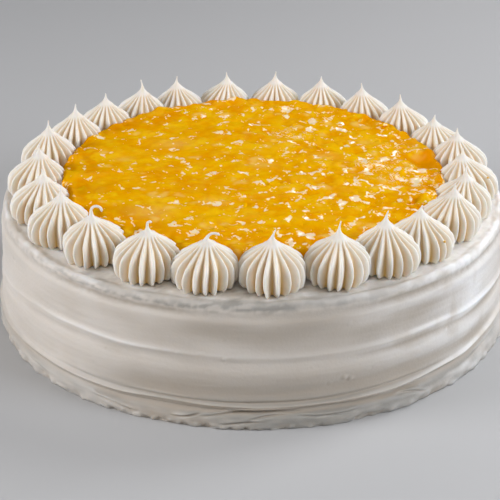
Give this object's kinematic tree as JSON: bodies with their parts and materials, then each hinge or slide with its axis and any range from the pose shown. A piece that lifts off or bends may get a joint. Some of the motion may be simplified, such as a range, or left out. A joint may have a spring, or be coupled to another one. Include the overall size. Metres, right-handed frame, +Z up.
{
  "type": "pineapple cake",
  "caption": "Round white-frosted cake with a glossy crushed-pineapple top inside a ring of ridged piped cream stars with pointed tips.",
  "frame": {"origin": "middle of the flat underside, where the cake rests", "axes": "+Z up through the middle of the cake; the side shown in the picture faces -Y"},
  "size_m": [0.2358, 0.2361, 0.0796],
  "materials": {
    "frosting": "whipped white frosting, satin, spread with a palette knife",
    "piped_cream": "cream-white piped frosting, satin",
    "pineapple": "wet glossy crushed pineapple in clear glaze"
  },
  "bodies": {
    "root": {"frosted_cake": "frosting", "pineapple_topping": "pineapple", "piped_star_01": "piped_cream", "piped_star_02": "piped_cream", "piped_star_03": "piped_cream", "piped_star_04": "piped_cream", "piped_star_05": "piped_cream", "piped_star_06": "piped_cream", "piped_star_07": "piped_cream", "piped_star_08": "piped_cream", "piped_star_09": "piped_cream", "piped_star_10": "piped_cream", "piped_star_11": "piped_cream", "piped_star_12": "piped_cream", "piped_star_13": "piped_cream", "piped_star_14": "piped_cream", "piped_star_15": "piped_cream", "piped_star_16": "piped_cream", "piped_star_17": "piped_cream", "piped_star_18": "piped_cream", "piped_star_19": "piped_cream", "piped_star_20": "piped_cream", "piped_star_21": "piped_cream", "piped_star_22": "piped_cream", "piped_star_23": "piped_cream", "piped_star_24": "piped_cream", "piped_star_25": "piped_cream"}
  },
  "joints": []
}
